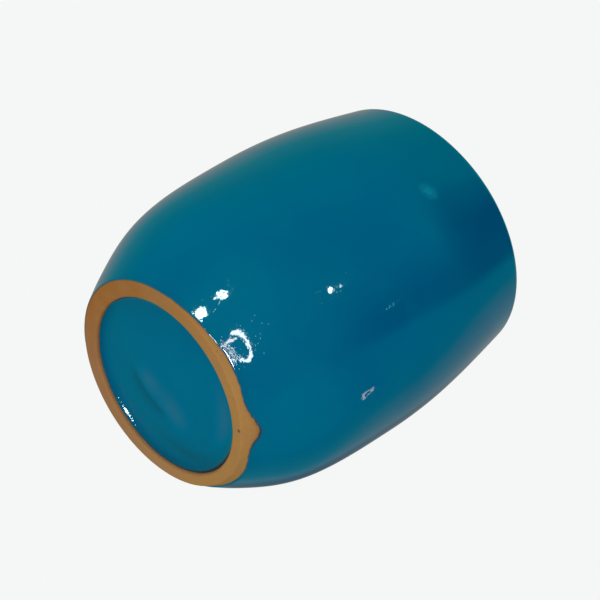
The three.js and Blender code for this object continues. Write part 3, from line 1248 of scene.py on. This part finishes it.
def pale_floor(stage):
    """Pale from above, with soft shadows near the mug, and clear from below for a camera under it."""
    lit_share, glow = 0.4, 0.43
    shadow_reach = (0.10, 0.42)
    material = bpy.data.materials.new("pale floor")
    tree = cleared_tree(material)
    pale = opaque(stage.background)
    grey = opaque([lit_share * channel for channel in stage.background])
    shaded = add_node(tree, "ShaderNodeBsdfDiffuse", {"Color": grey})
    lit = add_node(tree, "ShaderNodeEmission", {"Color": pale, "Strength": glow})
    near = add_node(tree, "ShaderNodeAddShader", {0: shaded.outputs[0], 1: lit.outputs[0]})
    far = add_node(tree, "ShaderNodeEmission", {"Color": pale, "Strength": 1.0})
    away = add_node(tree, "ShaderNodeVectorMath", {0: own_place(tree)}, operation="LENGTH")
    outwards = ranged(tree, away.outputs["Value"], shadow_reach, (0.0, 1.0))
    above = add_node(tree, "ShaderNodeMixShader", {0: outwards, 1: near.outputs[0], 2: far.outputs[0]})
    clear = add_node(tree, "ShaderNodeBsdfTransparent")
    below = add_node(tree, "ShaderNodeNewGeometry").outputs["Backfacing"]
    both = add_node(tree, "ShaderNodeMixShader", {0: below, 1: above.outputs[0], 2: clear.outputs[0]})
    add_node(tree, "ShaderNodeOutputMaterial", {"Surface": both.outputs[0]})
    return material


def unseen_lamp(scene, name, shape, size, energy):
    """An area lamp that the camera doesn't see and the gloss doesn't mirror."""
    data = bpy.data.lights.new(name, "AREA")
    data.shape = shape
    data.size = size
    data.energy = energy
    lamp = bpy.data.objects.new(name, data)
    lamp.visible_camera = False
    lamp.visible_glossy = False
    scene.collection.objects.link(lamp)
    return lamp


def softbox(scene, name, direction, level):
    """A large soft lamp that lights a surface facing it to a level."""
    middle = (CAD_BOX[0] + CAD_BOX[1]) / 2
    distance, width = 1.2, 0.5
    lamp = unseen_lamp(scene, name, "SQUARE", width, level * math.pi * math.pi * distance * distance)
    lamp.location = middle + direction * distance
    lamp.rotation_mode = "QUATERNION"
    lamp.rotation_quaternion = (-direction).to_track_quat("-Z", "Y")


def mouth_lamp(scene):
    """A round lamp over the mouth that fills the inside with soft light and lights nothing else."""
    width, level, clearance = 56 * MM, 2.0, 6 * MM
    lamp = unseen_lamp(scene, "mouth lamp", "DISK", width, level * (math.pi * width / 2) ** 2)
    lamp.location = (0.0, 0.0, CAD_BOX[1].z + clearance)


def oval(skin, middle, size, slant, hollow):
    """Pairs of places on the outer and the inner line of an oval, sized by its half axes in millimetres."""
    turn, distance = middle
    radius = skin.line.at(distance)[0].x
    width, depth = size
    steps = 40
    rails = []
    for step in even(0.0, FULL_TURN, steps):
        out = Vector((width * MM * math.cos(step), depth * MM * math.sin(step)))
        across = (out.x * math.cos(slant) - out.y * math.sin(slant)) / radius
        along = out.x * math.sin(slant) + out.y * math.cos(slant)
        outer = (turn + across, distance + along)
        rails.append((outer, (turn + hollow * across, distance + hollow * along)))
    return rails


def frame_of(corners, hollow):
    """Pairs of places on the outer and the inner line of a frame."""
    middle = [sum(corner[i] for corner in corners) / len(corners) for i in range(2)]
    rails = []
    for corner in (*corners, corners[0]):
        inner = [middle[i] + hollow * (corner[i] - middle[i]) for i in range(2)]
        rails.append((corner, inner))
    return rails


def band(skin, first, last, from_edge, width, bow):
    """Pairs of places on the two sides of a line along the edge of a skin, bowed to it at its ends."""
    steps, thinnest = 24, 0.02
    rails = []
    for step in even(0.0, 1.0, steps):
        turn = (first + (last - first) * step) * DEGREE
        from_middle = (2 * step - 1) ** 2
        half = width / 2 * math.sqrt(max(thinnest, 1 - from_middle))
        middle = from_edge - bow * from_middle
        rails.append([(turn, skin.inside(turn, middle + side)) for side in (-half, half)])
    return rails


def stroke(skin, places):
    """Pairs of places on the two sides of a smooth line, from its turns, heights and half widths."""
    knots = [Vector((*skin.place(turn, height), half * MM)) for turn, height, half in places]
    knots = [knots[0], *knots, knots[-1]]
    stiffness, steps = 6, 6
    line = [knots[0]]
    for before, start, end, after in zip(knots, knots[1:], knots[2:], knots[3:]):
        pulls = start + (end - before) / stiffness, end - (after - start) / stiffness
        line.extend(interpolate_bezier(start, *pulls, end, steps)[1:])
    radius = skin.line.at(line[0].y)[0].x
    last = len(line) - 1
    rails = []
    for i, spot in enumerate(line):
        along = line[min(i + 1, last)] - line[max(i - 1, 0)]
        side = Vector((-along.y, along.x * radius)).normalized() * spot.z
        rails.append([(spot.x + way * side.x / radius, spot.y + way * side.y) for way in (-1, 1)])
    return rails


class GlintLamps:
    """Lamps that the gloss mirrors to the camera, each between two lines of places on the glaze."""

    DISTANCE = 0.7

    def __init__(self, scene, view):
        self.scene = scene
        self.view = view

    def add(self, name, skin, rails, strength, tint=WHITE):
        """Adds a lamp where the gloss of a skin mirrors the pairs of places."""
        points = []
        for pair in rails:
            for turn, distance in pair:
                spot = skin.point(turn, distance, skin.edge(turn))
                way = (spot - self.view.place).normalized()
                points.append(spot + way.reflect(skin.normal(turn, distance)) * self.DISTANCE)
        faces = [(2 * i, 2 * i + 1, 2 * i + 3, 2 * i + 2) for i in range(len(rails) - 1)]
        mesh = bpy.data.meshes.new(name)
        mesh.from_pydata(points, [], faces)
        material = bpy.data.materials.new(name)
        tree = cleared_tree(material)
        glow = add_node(tree, "ShaderNodeEmission", {"Color": opaque(tint), "Strength": strength})
        add_node(tree, "ShaderNodeOutputMaterial", {"Surface": glow.outputs[0]})
        mesh.materials.append(material)
        lamp = bpy.data.objects.new(name, mesh)
        lamp.visible_camera = False
        lamp.visible_diffuse = False
        lamp.visible_shadow = False
        self.scene.collection.objects.link(lamp)

    def add_to_coat(self, coat):
        """Adds the lamps that the outer coat mirrors."""
        for name, (turn, height, width, depth, slant, strength, red) in GLINT_SPOTS.items():
            spot = oval(coat, coat.place(turn, height), (width, depth), slant * DEGREE, SPOT_HOLLOW)
            self.add(name, coat, spot, strength, (red, 1.0, 1.0))
        corners = [coat.place(*corner) for corner in WINDOW_CORNERS]
        self.add("window", coat, frame_of(corners, WINDOW_HOLLOW), WINDOW_STRENGTH)
        self.add("edge line", coat, band(coat, *EDGE_LINE), EDGE_LINE_STRENGTH)
        for name, (strength, red, knots) in GLINT_STROKES.items():
            self.add(name, coat, stroke(coat, knots), strength, (red, 1.0, 1.0))
        for name, (width, depth, hollow, strength) in HAZE_OVALS.items():
            haze = oval(coat, coat.place(*HAZE_PLACE), (width, depth), HAZE_SLANT, hollow)
            self.add(name, coat, haze, strength, HAZE_TINT)

    def add_to_well(self, well):
        """Adds the lamp that the glaze in the well mirrors."""
        self.add("crescent", well, band(well, *CRESCENT), CRESCENT_STRENGTH, CRESCENT_TINT)


class MUG_OT_stage(bpy.types.Operator):
    """Set the camera, the lamps, the floor and the pale surroundings"""

    bl_idname = "mug.stage"
    bl_label = "Stage"

    def execute(self, context):
        scene = context.scene
        stage = scene.pottery_mug.stage
        scene.view_settings.view_transform = "Standard"
        view = View(stage)
        self.add_camera(scene, stage, view)
        self.add_world(scene, stage, view)
        self.add_floor(scene, stage)
        softbox(scene, "back softbox", view.forward, BACK_LEVEL)
        softbox(scene, "top softbox", TOP_WAY, TOP_LEVEL)
        mouth_lamp(scene)
        shape, glaze, _ = mug_settings(context)
        glints = GlintLamps(scene, view)
        glints.add_to_coat(OuterCoat(shape, glaze))
        glints.add_to_well(WellSkin(shape, glaze))
        return {"FINISHED"}

    def add_camera(self, scene, stage, view):
        """The photograph's view, from below and in front."""
        data = bpy.data.cameras.new("camera")
        data.sensor_width = 36.0
        data.lens = stage.camera_focal * data.sensor_width
        data.clip_start = 0.01
        data.clip_end = 20.0
        camera = bpy.data.objects.new("camera", data)
        camera.matrix_world = view.matrix()
        scene.collection.objects.link(camera)
        scene.camera = camera

    def add_world(self, scene, stage, view):
        """Soft light from all round, the room that the gloss mirrors, and the pale background."""
        scene.world = bpy.data.worlds.new("pale surroundings")
        tree = cleared_tree(scene.world)
        brightest = Vector((0.14, -0.63, -0.77)).normalized()
        darkest = -stage.ambient / stage.slope
        level = towards(tree, brightest, (darkest, 1.0), (0.0, stage.ambient + stage.slope))
        left_to_right = towards(tree, RIGHT, (-1.0, 1.0), (1.30, 0.70))
        backdrops = [
            (opaque(WHITE), level),
            (mirrored_room(tree, view.forward), left_to_right),
            (opaque(stage.background), 1.0),
        ]
        light, room, pale = [
            add_node(tree, "ShaderNodeBackground", {"Color": shade, "Strength": strength}).outputs[0]
            for shade, strength in backdrops
        ]
        path = add_node(tree, "ShaderNodeLightPath").outputs
        mirrored = computed(tree, "MAXIMUM", path["Is Glossy Ray"], path["Is Transmission Ray"])
        unseen = add_node(tree, "ShaderNodeMixShader", {0: mirrored, 1: light, 2: room}).outputs[0]
        shown = add_node(tree, "ShaderNodeMixShader", {0: path["Is Camera Ray"], 1: unseen, 2: pale})
        add_node(tree, "ShaderNodeOutputWorld", {"Surface": shown.outputs[0]})

    def add_floor(self, scene, stage):
        """The floor that the mug stands on, which only the camera sees."""
        half = 1.5
        mesh = bpy.data.meshes.new("floor")
        corners = [(-half, -half, 0.0), (half, -half, 0.0), (half, half, 0.0), (-half, half, 0.0)]
        mesh.from_pydata(corners, [], [(0, 1, 2, 3)])
        floor = bpy.data.objects.new("floor", mesh)
        mesh.materials.append(pale_floor(stage))
        scene.collection.objects.link(floor)
        floor.visible_diffuse = False
        floor.visible_glossy = False
        floor.visible_transmission = False
        floor.visible_shadow = False


class MUG_PT_panel(bpy.types.Panel):
    """Lists the steps that build the mug"""

    bl_idname = "MUG_PT_panel"
    bl_label = "Pottery Mug"
    bl_space_type = "VIEW_3D"
    bl_region_type = "UI"
    bl_category = "Mug"

    def draw(self, context):
        for step in OPERATORS:
            self.layout.operator(step.bl_idname)


OPERATORS = (MUG_OT_clay_body, MUG_OT_outer_glaze, MUG_OT_liner_glaze, MUG_OT_well_glaze, MUG_OT_stage)
CLASSES = (MugShape, MugGlaze, MugClay, MugStage, MugSettings, *OPERATORS, MUG_PT_panel)


def register():
    for entry in CLASSES:
        bpy.utils.register_class(entry)
    bpy.types.Scene.pottery_mug = PointerProperty(type=MugSettings)


def unregister():
    del bpy.types.Scene.pottery_mug
    for entry in reversed(CLASSES):
        bpy.utils.unregister_class(entry)


def main():
    register()
    bpy.ops.mug.clay_body()
    bpy.ops.mug.outer_glaze()
    bpy.ops.mug.liner_glaze()
    bpy.ops.mug.well_glaze()
    bpy.ops.mug.stage()


if __name__ == "__main__":
    main()
